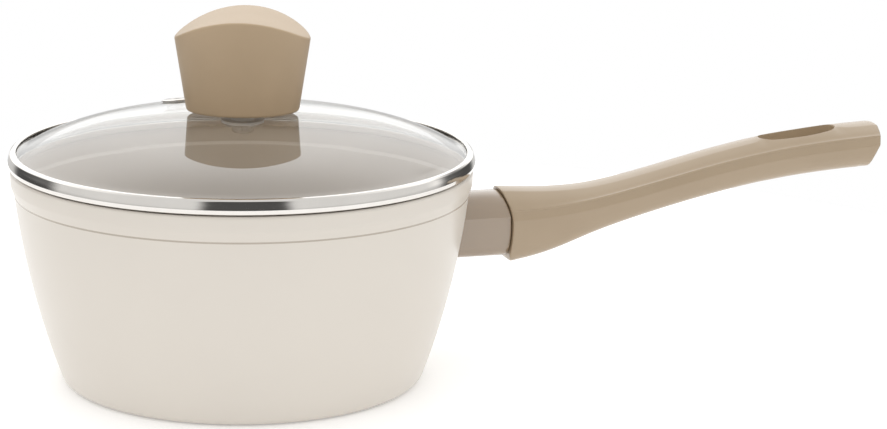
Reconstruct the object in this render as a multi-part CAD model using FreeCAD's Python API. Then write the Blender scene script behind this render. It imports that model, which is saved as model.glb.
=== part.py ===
import FreeCAD, Part
import math
import os

# An 18 cm saucepan with a domed glass lid, in millimetres.
# The origin is on the pan's axis in the plane that it stands on. +Z is up and +X points
# along the handle. Every function below makes one separate piece of the real object.

# Pan: a pressed aluminium shell with a short collar above a small step.
WALL = 2.3                    # thickness of the shell's side
FLOOR_TOP = 4.0               # top of the shell's thicker floor
WALL_FOOT = (73.1, 0.0)       # outer side, run down to the standing plane
WALL_MIDDLE = (85.5, 42.0)
WALL_HEAD = (91.8, 79.4)      # outer side, just under the step
COLLAR_FOOT = (92.9, 80.5)
COLLAR_HEAD = (93.1, 86.55)   # outer edge of the rounded lip
STEP_INSIDE = 77.2            # height of the ledge that the step leaves inside
HEEL_RADIUS = 4.5
COVE_RADIUS = 9.0
STEP_ROUND = 0.8

# Induction plate: a perforated steel disc let into the underside of the shell.
PLATE_RADIUS = 62.0
PLATE_THICKNESS = 0.8         # also the pocket's depth, so the disc lies flush
PLATE_PLAY = 0.05
PERFORATION_RADIUS = 1.5
PERFORATION_RINGS = ((14.0, 8), (27.0, 16), (40.0, 24), (53.0, 32))

# Lid glass: a shallow crown that turns down more sharply towards its rim.
GLASS_APEX = 109.2
CROWN_RADIUS = 325.0
CROWN_EDGE = 60.0             # distance from the axis where the shoulder begins
SHOULDER_RADIUS = 105.0
GLASS_THICKNESS = 3.8
RIM_START = 88.0              # where the shoulder ends and the flat rim begins
GLASS_EDGE = 92.6
GLASS_EDGE_TOP = 93.0
GLASS_EDGE_BOTTOM = 88.75
GLASS_EDGE_ROUND = 0.7
GLASS_UNDERSIDE = 90.0        # inner end of the flat ground under the rim
GLASS_HOLE = 5.0

# Steel band that is rolled round the glass rim, and its skirt inside the pan.
BAND_GAUGE = 0.5
BAND_LIP = (90.2, 94.2)       # inner end of the lip on top of the glass
BAND_SHOULDER = ((92.7, 93.72), (93.2, 93.5), (93.4, 92.9))  # round from lip to face
BAND_FACE = (93.84, 90.2)     # the face leans in above this point
BAND_BULGE = (93.9, 89.2)     # widest point
BAND_TURN = ((93.75, 88.45), (93.0, 88.05))                  # round from bulge to underside
BAND_LINING = ((92.7, 88.55), (92.95, 88.7), (93.05, 89.05), (92.9, 92.6), (92.8, 93.05),
               (92.45, 93.27))                               # inner face, round the glass
BAND_UNDERSIDE = 88.05
SKIRT_RADIUS = 89.9
SKIRT_BOTTOM = 85.5
SKIRT_ROUND = 0.6

# Steam vent in the glass, stood square to the glass where it sits.
VENT_DISTANCE = 50.0
VENT_AZIMUTH = 110.0
VENT_HOLE = 4.4
VENT_FLANGE = 6.5
VENT_BORE = 2.4
VENT_ROLL = 0.5               # gauge of the roll under the glass
VENT_SEAT = 0.45              # underside of the flange, above the glass
FLANGE_LINE = ((2.4, 0.95), (2.75, 1.17), (3.3, 1.2), (5.6, 1.05), (6.25, 0.82), (6.5, 0.45))

# Knob: a flared elliptic block with an arched top.
KNOB_BOTTOM = 109.9
KNOB_CROWN = 148.9
KNOB_ARCH_RADIUS = 45.3
KNOB_HALF_WIDTH = 22.65       # at the bottom
KNOB_HALF_DEPTH = 18.1
KNOB_WIDTH_FLARE = 0.155      # growth of each half axis per millimetre of height
KNOB_DEPTH_FLARE = 0.135
KNOB_AZIMUTH = -17.0          # direction of the wide axis
KNOB_TOP_ROUND = 0.8
KNOB_BOTTOM_ROUND = 1.3

# Knob fastening on the lid's axis, from the insert down to the screw's head.
M5 = 2.45                     # shank radius of both screws
M5_TAPPED = 2.5
INSERT_RADIUS = 3.6
INSERT_TOP = 123.0
GASKET_RADIUS = 9.0
LOWER_GASKET_TOP = 105.25
LOWER_GASKET_BOTTOM = 104.3
KNOB_WASHER_RADIUS = 7.5
KNOB_WASHER_BOTTOM = 103.3
SCREW_HEAD_RADIUS = 4.6
SCREW_HEAD_HEIGHT = 3.0
SCREW_HEAD_ROUND = 1.4
RECESS = (5.0, 1.0, 1.6)      # length, width and depth of each slot of the cross
SCREW_POINT = 0.6
BUSH_PLAY = 0.15              # between a shank and the washers round it

# Handle: stations along it as (x, top, crease, bottom, half width).
HANDLE_STATIONS = (
    (100.0, 73.4, 64.3, 42.6, 15.2),
    (114.0, 72.5, 64.4, 43.0, 15.2),
    (130.0, 71.4, 65.1, 46.5, 14.8),
    (150.0, 72.0, 67.8, 53.5, 14.3),
    (175.0, 76.9, 73.0, 60.3, 13.8),
    (203.0, 83.6, 79.3, 66.7, 13.6),
    (232.0, 89.0, 84.2, 71.7, 13.8),
    (260.0, 91.8, 87.1, 74.3, 14.0),
    (290.0, 93.2, 88.9, 75.2, 14.0),
)
GRIP_SHAPE = (1.3, 3.1, 5.5)  # how far the crown stands in, bevel height, corner radius
JOINT_CENTRE = (64.7, 57.0)   # x and height of the centre of the curved joint
JOINT_RADIUS = 46.0
JOINT_GAP = 0.4
CHIN = ((104.0, 38.0), (111.4, 38.0), (111.4, 42.8), (109.4, 45.4), (104.0, 45.4))
TAIL_CORNERS = ((274.4, 74.0, 3.0), (280.0, 85.0, 1.5), (280.0, 93.3, 2.0))  # x, z, rounding
TAIL_START = 262.0            # x where the tail's outline leaves the handle alone
TAIL_PLAN_RADIUS = 33.0       # curve of the tail's end, seen from above
SLOT_CENTRE = (244.5, 81.0)
SLOT_LENGTH = 35.2
SLOT_WIDTH = 14.1
SLOT_SHOULDER = (13.0, 5.7)   # where a side of the slot's oval meets the end
SLOT_LEAN = 6.0

# Flame guard: the sleeve between the pan and the handle.
GUARD_START = 78.0
GUARD_END = 120.0             # before the joint trims it
GUARD_TOP = 71.1              # at its start
GUARD_RISE = 0.012            # of the top, per millimetre towards the handle
GUARD_CREASE = 63.0
GUARD_BOTTOM = 45.5
GUARD_HALF_WIDTH = 13.7
GUARD_SHAPE = (0.3, 0.5, 4.5)
GUARD_GAUGE = 1.4

# Bracket welded to the pan, with a tongue that reaches into the handle.
BRACKET_FOOT_GAUGE = 2.5
BRACKET_FOOT_HALF = 8.5
BRACKET_FOOT_HEIGHTS = (47.5, 66.5)
TONGUE_HALF = 6.0
TONGUE_OUTLINE = ((84.0, 51.0), (118.0, 52.5), (139.0, 55.5), (141.0, 57.5), (141.0, 64.0),
                  (139.0, 66.0), (84.0, 66.0))
SOCKET_PLAY = 0.25
FIXING_X = 127.0
FIXING_HEAD_BOTTOM = 47.0
HEAD_ROOM = 0.4
SPRING_WASHER_HEIGHT = 1.0
FIXING_TIP = 65.0

UP = FreeCAD.Vector(0, 0, 1)
ORIGIN = FreeCAD.Vector(0, 0, 0)
SOLIDS = {}


def point(r, z, y=0.0):
    return FreeCAD.Vector(r, y, z)


def line(a, b):
    return Part.LineSegment(point(*a), point(*b)).toShape()


def arc(a, middle, b):
    return Part.Arc(point(*a), point(*middle), point(*b)).toShape()


def turned(edges):
    """Turn a closed outline of (radius, height) edges about the pan's axis."""
    return Part.Face(Part.Wire(edges)).revolve(ORIGIN, UP, 360)


def outline(points):
    return [line(a, b) for a, b in zip(points, points[1:] + points[:1])]


def tube(outer, inner, bottom, top):
    ring = Part.makeCylinder(outer, top - bottom, point(0, bottom))
    return ring.cut(Part.makeCylinder(inner, top - bottom, point(0, bottom)))


def circle_through(a, b, c):
    """Centre and radius of the circle through three (radius, height) points."""
    circle = arc(a, b, c).Curve
    return (circle.Center.x, circle.Center.z), circle.Radius


def circle_r(centre, radius, z):
    return centre[0] + math.sqrt(radius ** 2 - (z - centre[1]) ** 2)


def circle_z(centre, radius, r):
    return centre[1] + math.sqrt(radius ** 2 - (r - centre[0]) ** 2)


def rings_at(shape, radius, z, reach=0.05):
    """The full circular edges of a shape that have this radius and height."""
    found = []
    for edge in shape.Edges:
        curve = edge.Curve
        if isinstance(curve, Part.Circle) and abs(curve.Radius - radius) < reach:
            if abs(curve.Center.z - z) < reach:
                found.append(edge)
    return found


def add(name, shape):
    shape = shape.removeSplitter()
    solid = shape.Solids[0] if len(shape.Solids) == 1 else shape
    SOLIDS[name] = solid
    print(name, "volume mm3", round(solid.Volume, 1), "valid", solid.isValid(),
          "solids", len(shape.Solids))


# ---------------------------------------------------------------- pan

WALL_CENTRE, WALL_RADIUS = circle_through(WALL_FOOT, WALL_MIDDLE, WALL_HEAD)


def wall_arc(radius, z_low, z_high):
    ends = []
    for z in (z_low, (z_low + z_high) / 2, z_high):
        ends.append((circle_r(WALL_CENTRE, radius, z), z))
    return arc(*ends)


def pan_outer(grown=0.0):
    """The pan's outside as a full solid, grown outward by a gauge, up to under the step."""
    radius = WALL_RADIUS + grown
    head = WALL_HEAD[1]
    foot_r = circle_r(WALL_CENTRE, radius, 0.0)
    head_r = circle_r(WALL_CENTRE, radius, head)
    edges = [line((0, 0), (foot_r, 0)), wall_arc(radius, 0.0, head),
             line((head_r, head), (0, head)), line((0, head), (0, 0))]
    return turned(edges)


def pan_body():
    inner = WALL_RADIUS - WALL
    lip = WALL / 2
    lip_r = COLLAR_HEAD[0] - WALL
    ledge_r = circle_r(WALL_CENTRE, inner, STEP_INSIDE)
    floor_r = circle_r(WALL_CENTRE, inner, FLOOR_TOP)
    ledge_top = (COLLAR_FOOT[0] - WALL, STEP_INSIDE + 1.2)
    edges = [
        line((0, 0), WALL_FOOT),
        arc(WALL_FOOT, WALL_MIDDLE, WALL_HEAD),
        line(WALL_HEAD, COLLAR_FOOT),
        line(COLLAR_FOOT, COLLAR_HEAD),
        arc(COLLAR_HEAD, (COLLAR_HEAD[0] - lip, COLLAR_HEAD[1] + lip), (lip_r, COLLAR_HEAD[1])),
        line((lip_r, COLLAR_HEAD[1]), ledge_top),
        line(ledge_top, (ledge_r, STEP_INSIDE)),
        wall_arc(inner, FLOOR_TOP, STEP_INSIDE),
        line((floor_r, FLOOR_TOP), (0, FLOOR_TOP)),
        line((0, FLOOR_TOP), (0, 0)),
    ]
    shell = turned(edges)
    shell = shell.makeFillet(HEEL_RADIUS, rings_at(shell, WALL_FOOT[0], 0.0))
    shell = shell.makeFillet(COVE_RADIUS, rings_at(shell, floor_r, FLOOR_TOP))
    for r, z in (WALL_HEAD, COLLAR_FOOT):
        shell = shell.makeFillet(STEP_ROUND, rings_at(shell, r, z))
    return shell.cut(Part.makeCylinder(PLATE_RADIUS + PLATE_PLAY, PLATE_THICKNESS))


def induction_plate():
    plate = Part.makeCylinder(PLATE_RADIUS, PLATE_THICKNESS)
    holes = []
    for ring, count in PERFORATION_RINGS:
        for i in range(count):
            turn = 2 * math.pi * i / count
            place = FreeCAD.Vector(ring * math.cos(turn), ring * math.sin(turn), 0)
            holes.append(Part.makeCylinder(PERFORATION_RADIUS, PLATE_THICKNESS, place))
    return plate.cut(holes)


# ---------------------------------------------------------------- handle

def extruded(points, half_width=40.0):
    """A block with this outline in x and z, to both sides of the middle plane."""
    face = Part.Face(Part.Wire(outline(points)))
    face.translate(FreeCAD.Vector(0, -half_width, 0))
    return face.extrude(FreeCAD.Vector(0, 2 * half_width, 0))


def joint_drum(gap):
    """Everything on the pan's side of the curved joint, grown by a gap."""
    x, z = JOINT_CENTRE
    return Part.makeCylinder(JOINT_RADIUS + gap, 80, FreeCAD.Vector(x, -40, z),
                             FreeCAD.Vector(0, 1, 0))


def handle_section(x, top, crease, bottom, half, crown_in, bevel, corner):
    """A rounded section in a plane of constant x: crown, crease, bevel, side and bottom."""
    neck = half - crown_in
    low = bottom + corner
    waist = half - 0.5

    def spot(y, z):
        return FreeCAD.Vector(x, y, z)

    side = [
        Part.LineSegment(spot(neck, crease), spot(half, crease - bevel)),
        Part.LineSegment(spot(half, crease - bevel), spot(waist, low)),
        Part.Arc(spot(waist, low), spot(waist - corner * 0.32, bottom + corner * 0.28),
                 spot(waist - corner, bottom)),
    ]
    edges = [curve.toShape() for curve in side]
    mirrored = [edge.mirror(ORIGIN, FreeCAD.Vector(0, 1, 0)) for edge in edges]
    crown = Part.Arc(spot(-neck, crease), spot(0, top), spot(neck, crease)).toShape()
    base = Part.LineSegment(spot(waist - corner, bottom), spot(corner - waist, bottom)).toShape()
    return Part.Wire(Part.sortEdges([crown] + edges + [base] + mirrored)[0])


def tongue(grown):
    """The bracket's tongue, grown all round by some play."""
    face = Part.Face(Part.Wire(outline(list(TONGUE_OUTLINE))))
    if grown:
        face = Part.Face(face.makeOffset2D(grown).OuterWire)
    depth = 2 * (TONGUE_HALF + grown)
    return face.translated(FreeCAD.Vector(0, -depth / 2, 0)).extrude(FreeCAD.Vector(0, depth, 0))


def handle_bracket():
    low, high = BRACKET_FOOT_HEIGHTS
    foot = Part.makeBox(20, 2 * BRACKET_FOOT_HALF, high - low,
                        FreeCAD.Vector(78, -BRACKET_FOOT_HALF, low))
    foot = foot.common(pan_outer(BRACKET_FOOT_GAUGE))
    bracket = tongue(0.0).fuse(foot).cut(pan_outer())
    hole = Part.makeCylinder(M5_TAPPED, 40, point(FIXING_X, 40))
    return bracket.cut(hole)


def flame_guard():
    crown_in, bevel, corner = GUARD_SHAPE

    def sleeve(inset):
        wires = []
        for x in (GUARD_START, GUARD_END):
            top = GUARD_TOP + GUARD_RISE * (x - GUARD_START) - inset
            wires.append(handle_section(x, top, GUARD_CREASE, GUARD_BOTTOM + inset,
                                        GUARD_HALF_WIDTH - inset, crown_in, bevel,
                                        corner - inset / 2))
        return Part.makeLoft(wires, True, True)
    guard = sleeve(0.0).cut(sleeve(GUARD_GAUGE))
    return guard.common(joint_drum(0.0)).cut(pan_outer())


def tail_block():
    """What lies inside the rounded, raked tail end of the handle."""
    foot, tip, head = [corner[:2] for corner in TAIL_CORNERS]
    block = extruded([(60, 20), (TAIL_START, 20), (TAIL_START, foot[1] - 0.5), foot, tip, head,
                      (TAIL_START, head[1] - 1.0), (TAIL_START, 115), (60, 115)])
    for x, z, radius in TAIL_CORNERS:
        here = FreeCAD.Vector(x, 0, z)
        corner = [edge for edge in block.Edges if edge.CenterOfMass.isEqual(here, 0.1)]
        block = block.makeFillet(radius, corner)
    end = TAIL_CORNERS[1][0]
    nose = Part.makeCylinder(TAIL_PLAN_RADIUS, 100, point(end - TAIL_PLAN_RADIUS, 20))
    plan = extruded([(60, 20), (TAIL_START, 20), (TAIL_START, 120), (60, 120)]).fuse(nose)
    return block.common(plan)


def hanging_slot():
    """A long oval hole, square to the handle's top face."""
    tip, side = SLOT_LENGTH / 2, SLOT_WIDTH / 2
    x, y = SLOT_SHOULDER
    spots = [(-x, y), (0, side), (x, y), (tip, 0), (x, -y), (0, -side), (-x, -y), (-tip, 0)]
    spots = [FreeCAD.Vector(*spot, -30) for spot in spots]
    sides = [Part.Arc(spots[i], spots[i + 1], spots[(i + 2) % 8]).toShape() for i in (0, 2, 4, 6)]
    block = Part.Face(Part.Wire(sides)).extrude(FreeCAD.Vector(0, 0, 60))
    block.rotate(ORIGIN, FreeCAD.Vector(0, 1, 0), -SLOT_LEAN)
    return block.translated(point(*SLOT_CENTRE))


def handle_grip():
    wires = []
    for x, top, crease, bottom, half in HANDLE_STATIONS:
        wires.append(handle_section(x, top, crease, bottom, half, *GRIP_SHAPE))
    grip = Part.makeLoft(wires, True, False)
    grip = grip.cut(joint_drum(JOINT_GAP)).cut(extruded(list(CHIN))).common(tail_block())
    grip = grip.cut(hanging_slot())
    grip = grip.cut(tongue(SOCKET_PLAY))
    head_room = Part.makeCylinder(SCREW_HEAD_RADIUS + HEAD_ROOM, 30, point(FIXING_X, 0))
    shoulder = FIXING_HEAD_BOTTOM + SCREW_HEAD_HEIGHT + SPRING_WASHER_HEIGHT
    counterbore = head_room.translated(FreeCAD.Vector(0, 0, shoulder - 30))
    shank_hole = Part.makeCylinder(M5 + 2 * BUSH_PLAY, 20, point(FIXING_X, 40))
    return grip.cut([counterbore, shank_hole])


def cross_screw(head_bottom, tip):
    """An upward pan-head screw on the axis, with a cross recess in its head."""
    head_top = head_bottom + SCREW_HEAD_HEIGHT
    head = Part.makeCylinder(SCREW_HEAD_RADIUS, SCREW_HEAD_HEIGHT, point(0, head_bottom))
    head = head.makeFillet(SCREW_HEAD_ROUND, rings_at(head, SCREW_HEAD_RADIUS, head_bottom))
    length, width, depth = RECESS
    for turn in (0, 90):
        blade = Part.makeBox(length, width, depth,
                             FreeCAD.Vector(-length / 2, -width / 2, head_bottom))
        blade.rotate(ORIGIN, UP, turn)
        head = head.cut(blade)
    shank = Part.makeCylinder(M5, tip - head_top, point(0, head_top))
    shank = shank.makeChamfer(SCREW_POINT, rings_at(shank, M5, tip))
    return head.fuse(shank)


def handle_screw():
    return cross_screw(FIXING_HEAD_BOTTOM, FIXING_TIP).translated(point(FIXING_X, 0))


def spring_washer():
    bottom = FIXING_HEAD_BOTTOM + SCREW_HEAD_HEIGHT
    ring = tube(SCREW_HEAD_RADIUS - 0.3, M5 + BUSH_PLAY, bottom, bottom + SPRING_WASHER_HEIGHT)
    split = Part.makeBox(6, 0.7, 3, FreeCAD.Vector(0, -0.35, bottom - 1))
    return ring.cut(split).translated(point(FIXING_X, 0))


# ---------------------------------------------------------------- lid

CROWN_CENTRE = (0.0, GLASS_APEX - CROWN_RADIUS)
CROWN_EDGE_Z = circle_z(CROWN_CENTRE, CROWN_RADIUS, CROWN_EDGE)
SLOPE = math.asin(CROWN_EDGE / CROWN_RADIUS)
SHOULDER_CENTRE = (CROWN_EDGE - SHOULDER_RADIUS * math.sin(SLOPE),
                   CROWN_EDGE_Z - SHOULDER_RADIUS * math.cos(SLOPE))


def glass_height(r, depth=0.0):
    """Height of the glass at a distance from the axis, at a depth below its top face."""
    turn_r = CROWN_EDGE - depth * math.sin(SLOPE)
    if r <= turn_r:
        return circle_z(CROWN_CENTRE, CROWN_RADIUS - depth, r)
    return circle_z(SHOULDER_CENTRE, SHOULDER_RADIUS - depth, r)


def glass_arc(r_from, r_to, depth):
    spots = [(r, glass_height(r, depth)) for r in (r_from, (r_from + r_to) / 2, r_to)]
    return arc(*spots)


def vent_frame(shape):
    """Move a shape from the axis to the vent, with z = 0 on the glass's top face."""
    lean = math.degrees(math.asin(VENT_DISTANCE / CROWN_RADIUS))
    shape = shape.copy()
    shape.rotate(ORIGIN, FreeCAD.Vector(0, 1, 0), lean)
    shape.translate(point(VENT_DISTANCE, glass_height(VENT_DISTANCE)))
    shape.rotate(ORIGIN, UP, VENT_AZIMUTH)
    return shape


def glass_dome():
    depth = GLASS_THICKNESS
    turn_r = CROWN_EDGE - depth * math.sin(SLOPE)
    under_r = GLASS_UNDERSIDE
    inner_r = under_r - 0.4
    edges = [
        glass_arc(GLASS_HOLE, CROWN_EDGE, 0.0),
        glass_arc(CROWN_EDGE, RIM_START, 0.0),
        line((RIM_START, glass_height(RIM_START)), (GLASS_EDGE, GLASS_EDGE_TOP)),
        line((GLASS_EDGE, GLASS_EDGE_TOP), (GLASS_EDGE, GLASS_EDGE_BOTTOM)),
        line((GLASS_EDGE, GLASS_EDGE_BOTTOM), (under_r, GLASS_EDGE_BOTTOM)),
        line((under_r, GLASS_EDGE_BOTTOM), (inner_r, glass_height(inner_r, depth))),
        glass_arc(inner_r, turn_r, depth),
        glass_arc(turn_r, GLASS_HOLE, depth),
        line((GLASS_HOLE, glass_height(GLASS_HOLE, depth)),
             (GLASS_HOLE, glass_height(GLASS_HOLE))),
    ]
    glass = turned(edges)
    glass = glass.makeFillet(GLASS_EDGE_ROUND, rings_at(glass, GLASS_EDGE, GLASS_EDGE_TOP)
                             + rings_at(glass, GLASS_EDGE, GLASS_EDGE_BOTTOM))
    return glass.cut(vent_frame(Part.makeCylinder(VENT_HOLE, 20, point(0, -10))))


def rim_band():
    lip_r, lip_z = BAND_LIP
    lip_under = (lip_r, lip_z - BAND_GAUGE)
    under, skirt, turn = BAND_UNDERSIDE, SKIRT_RADIUS, SKIRT_ROUND
    inside = skirt - BAND_GAUGE
    top_in = (inside + turn, under + BAND_GAUGE)
    shoulder, face, bulge = BAND_SHOULDER, BAND_FACE, BAND_BULGE
    lining = BAND_LINING
    edges = [
        line(lip_under, BAND_LIP),
        line(BAND_LIP, shoulder[0]),
        arc(*shoulder),
        arc(shoulder[2], face, bulge),
        arc(bulge, *BAND_TURN),
        line(BAND_TURN[1], (skirt + turn, under)),
        arc((skirt + turn, under), (skirt + 0.29 * turn, under - 0.29 * turn),
            (skirt, under - turn)),
        line((skirt, under - turn), (skirt, SKIRT_BOTTOM)),
        line((skirt, SKIRT_BOTTOM), (inside, SKIRT_BOTTOM)),
        line((inside, SKIRT_BOTTOM), (inside, under)),
        arc((inside, under), (inside + 0.3 * turn, under + 0.7 * BAND_GAUGE), top_in),
        line(top_in, lining[0]),
        arc(*lining[0:3]),
        line(lining[2], lining[3]),
        arc(*lining[3:6]),
        line(lining[5], lip_under),
    ]
    return turned(edges)


def vent_eyelet():
    """A rolled steel eyelet: domed flange above, barrel through the glass, roll below."""
    barrel = VENT_HOLE - 0.9
    below = -GLASS_THICKNESS - 0.12
    low = below - VENT_ROLL
    top = FLANGE_LINE
    edges = [
        line((VENT_BORE, low), top[0]),
        arc(*top[0:3]),
        line(top[2], top[3]),
        arc(*top[3:6]),
        line(top[5], (barrel, VENT_SEAT)),
        line((barrel, VENT_SEAT), (barrel, below)),
        line((barrel, below), (VENT_FLANGE - 1.0, below)),
        line((VENT_FLANGE - 1.0, below), (VENT_FLANGE - 1.3, low)),
        line((VENT_FLANGE - 1.3, low), (VENT_BORE, low)),
    ]
    return vent_frame(turned(edges))


def vent_gasket():
    """A clear silicone bush that keeps the eyelet off the glass."""
    flange = tube(VENT_FLANGE - 0.5, VENT_HOLE - 0.85, 0.02, 0.42)
    barrel = tube(VENT_HOLE - 0.05, VENT_HOLE - 0.85, -GLASS_THICKNESS, 0.42)
    return vent_frame(flange.fuse(barrel))


def knob_body():
    top = KNOB_CROWN + 4.0
    rings = []
    for z in (KNOB_BOTTOM, top):
        rise = z - KNOB_BOTTOM
        width = KNOB_HALF_WIDTH + KNOB_WIDTH_FLARE * rise
        depth = KNOB_HALF_DEPTH + KNOB_DEPTH_FLARE * rise
        oval = Part.Ellipse(point(0, z), width, depth)
        halves = [Part.Edge(oval, start, start + math.pi) for start in (-math.pi / 2, math.pi / 2)]
        rings.append(Part.Wire(halves))
    block = Part.makeLoft(rings, True, True)
    arch = Part.makeCylinder(KNOB_ARCH_RADIUS, 80, point(0, KNOB_CROWN - KNOB_ARCH_RADIUS, -40),
                             FreeCAD.Vector(0, 1, 0))
    knob = block.common(arch)
    bottom_edges = [e for e in knob.Edges if abs(e.BoundBox.ZMax - KNOB_BOTTOM) < 0.01]
    knob = knob.makeFillet(KNOB_BOTTOM_ROUND, bottom_edges)
    middle = (KNOB_BOTTOM + KNOB_CROWN) / 2
    knob = knob.makeFillet(KNOB_TOP_ROUND, [e for e in knob.Edges if e.BoundBox.ZMin > middle])
    knob.rotate(ORIGIN, UP, KNOB_AZIMUTH)
    return knob.cut(Part.makeCylinder(INSERT_RADIUS, INSERT_TOP - KNOB_BOTTOM + 1.0,
                                      point(0, KNOB_BOTTOM - 1.0)))


def knob_insert():
    return tube(INSERT_RADIUS, M5_TAPPED, KNOB_BOTTOM, INSERT_TOP)


def knob_gasket_upper():
    return tube(GASKET_RADIUS, M5 + BUSH_PLAY, GLASS_APEX + 0.02, KNOB_BOTTOM)


def knob_gasket_lower():
    """A washer with a short sleeve that centres the screw in the glass."""
    disc = tube(GASKET_RADIUS - 0.5, M5 + BUSH_PLAY, LOWER_GASKET_BOTTOM, LOWER_GASKET_TOP)
    sleeve = tube(GLASS_HOLE - 0.1, M5 + BUSH_PLAY, LOWER_GASKET_BOTTOM, GLASS_APEX)
    return disc.fuse(sleeve)


def knob_washer():
    return tube(KNOB_WASHER_RADIUS, M5 + BUSH_PLAY, KNOB_WASHER_BOTTOM, LOWER_GASKET_BOTTOM)


def knob_screw():
    return cross_screw(KNOB_WASHER_BOTTOM - SCREW_HEAD_HEIGHT, INSERT_TOP - 1.5)


PIECES = (pan_body, induction_plate, handle_bracket, flame_guard, handle_grip, handle_screw,
          spring_washer, glass_dome, rim_band, vent_eyelet, vent_gasket, knob_body, knob_insert,
          knob_gasket_upper, knob_gasket_lower, knob_washer, knob_screw)

os.makedirs("parts", exist_ok=True)
for piece in PIECES:
    add(piece.__name__, piece())
for name, solid in SOLIDS.items():
    solid.exportStep(os.path.join("parts", name + ".step"))
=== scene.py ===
# %% [markdown]
# # A saucepan with a glass lid
# This lesson builds the looks of an 18 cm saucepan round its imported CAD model. The CAD model
# decides where every piece is and how big it is. Here each visible piece gets a finer mesh and
# a finish of its own, and rides on the CAD body that it belongs to, so the lid still lifts.

# %% Load the frame
import math
import bmesh
import bpy
from mathutils import Matrix, Vector


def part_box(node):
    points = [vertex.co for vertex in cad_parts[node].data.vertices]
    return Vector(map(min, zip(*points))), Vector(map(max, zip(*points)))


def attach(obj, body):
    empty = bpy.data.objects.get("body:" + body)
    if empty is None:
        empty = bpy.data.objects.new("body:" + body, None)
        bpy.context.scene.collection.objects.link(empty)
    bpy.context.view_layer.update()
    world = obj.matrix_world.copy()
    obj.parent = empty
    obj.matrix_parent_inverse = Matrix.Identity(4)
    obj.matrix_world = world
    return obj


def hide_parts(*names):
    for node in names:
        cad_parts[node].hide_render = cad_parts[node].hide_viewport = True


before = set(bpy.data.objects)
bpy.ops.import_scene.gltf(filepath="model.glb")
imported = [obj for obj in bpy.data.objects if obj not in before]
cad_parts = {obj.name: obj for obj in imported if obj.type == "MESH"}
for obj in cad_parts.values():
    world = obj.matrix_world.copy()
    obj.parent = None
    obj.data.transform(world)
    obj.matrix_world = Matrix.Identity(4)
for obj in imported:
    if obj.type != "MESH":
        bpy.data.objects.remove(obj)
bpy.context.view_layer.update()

# %% [markdown]
# ## Millimetres
# A pan is drawn in millimetres, and Blender counts in metres. Every outline below is written in
# millimetres and turned into metres in one place only, the function that makes the mesh.

# %% Making a mesh from millimetres
MM = 0.001


def make_piece(name, points, faces, finishes, pick=None, sharp=38.0):
    """A smooth-shaded object; pick(x, y, z) says which finish a face has by its middle."""
    mesh = bpy.data.meshes.new(name)
    mesh.from_pydata([(x * MM, y * MM, z * MM) for x, y, z in points], [], faces)
    for finish in finishes:
        mesh.materials.append(finish)
    work = bmesh.new()
    work.from_mesh(mesh)
    bmesh.ops.recalc_face_normals(work, faces=work.faces)
    work.to_mesh(mesh)
    work.free()
    if pick:
        for face in mesh.polygons:
            face.material_index = pick(*(face.center / MM))
    mesh.shade_smooth()
    mesh.set_sharp_from_angle(angle=math.radians(sharp))
    piece = bpy.data.objects.new(name, mesh)
    bpy.context.scene.collection.objects.link(piece)
    print(name, "faces", len(mesh.polygons))
    return piece


# %% [markdown]
# ## Rounded outlines
# Pressed metal and moulded plastic have no truly sharp corners, and it is the small round at
# each corner that catches the light. An outline here is a list of corners, each with its own
# rounding radius, and this helper swaps every corner for an arc.

# %% Rounding the corners of an outline
def rounded(corners, steps=6):
    """Points of a closed outline of (x, z, rounding) corners."""
    points = []
    for i, (x, z, radius) in enumerate(corners):
        here = Vector((x, z))
        if radius == 0:
            points.append((x, z))
            continue
        back = (Vector(corners[i - 1][:2]) - here).normalized()
        onward = (Vector(corners[(i + 1) % len(corners)][:2]) - here).normalized()
        half = back.angle(onward) / 2
        centre = here + (back + onward).normalized() * radius / math.sin(half)
        reach = radius / math.tan(half)
        start = here + back * reach - centre
        end = here + onward * reach - centre
        turn = start.angle(end)
        for k in range(steps + 1):
            t = k / steps
            spoke = start * math.sin((1 - t) * turn) + end * math.sin(t * turn)
            points.append(tuple(centre + spoke / math.sin(turn)))
    return points


print("a rounded square has", len(rounded([(0, 0, 1), (9, 0, 1), (9, 9, 1), (0, 9, 1)])), "points")

# %% [markdown]
# ## Turning on a lathe
# The pan, the glass, the steel band and the vent are all round, so they are turned: a closed
# outline of (radius, height) points is swept once about the Z axis. A Screw modifier would do
# it too, but sweeping by hand keeps exact rings, and lets a point on the axis close cleanly.

# %% The lathe
def lathe(name, outline, finishes, pick=None, segments=192, sharp=38.0):
    points, rings = [], []
    for r, z in outline:
        first = len(points)
        if r < 1e-6:
            points.append((0.0, 0.0, z))
            rings.append([first] * segments)
            continue
        for k in range(segments):
            turn = 2 * math.pi * k / segments
            points.append((r * math.cos(turn), r * math.sin(turn), z))
        rings.append(list(range(first, first + segments)))
    faces = []
    for a, b in zip(rings, rings[1:] + rings[:1]):
        if a[0] == a[1] and b[0] == b[1]:
            continue
        for k in range(segments):
            n = (k + 1) % segments
            face = list(dict.fromkeys((a[k], a[n], b[n], b[k])))
            faces.append(face)
    return make_piece(name, points, faces, finishes, pick, sharp)


# %% [markdown]
# ## The camera
# A long lens from a little over a metre away keeps the pan's ellipses calm. The camera stands
# 13 degrees round from the side of the pan, so that the handle runs slightly away from it.

# %% The camera
CAMERA_DISTANCE = 1.100       # metres from the point on the pan's axis that it is measured to
CAMERA_AIM_HEIGHT = 0.0672
CAMERA_RISE = math.radians(13.355)
CAMERA_SWING = math.radians(13.0)
CAMERA_TURN = math.radians(4.361)
CAMERA_ROLL = math.radians(0.897)
CAMERA_LENS = 109.72


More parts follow.
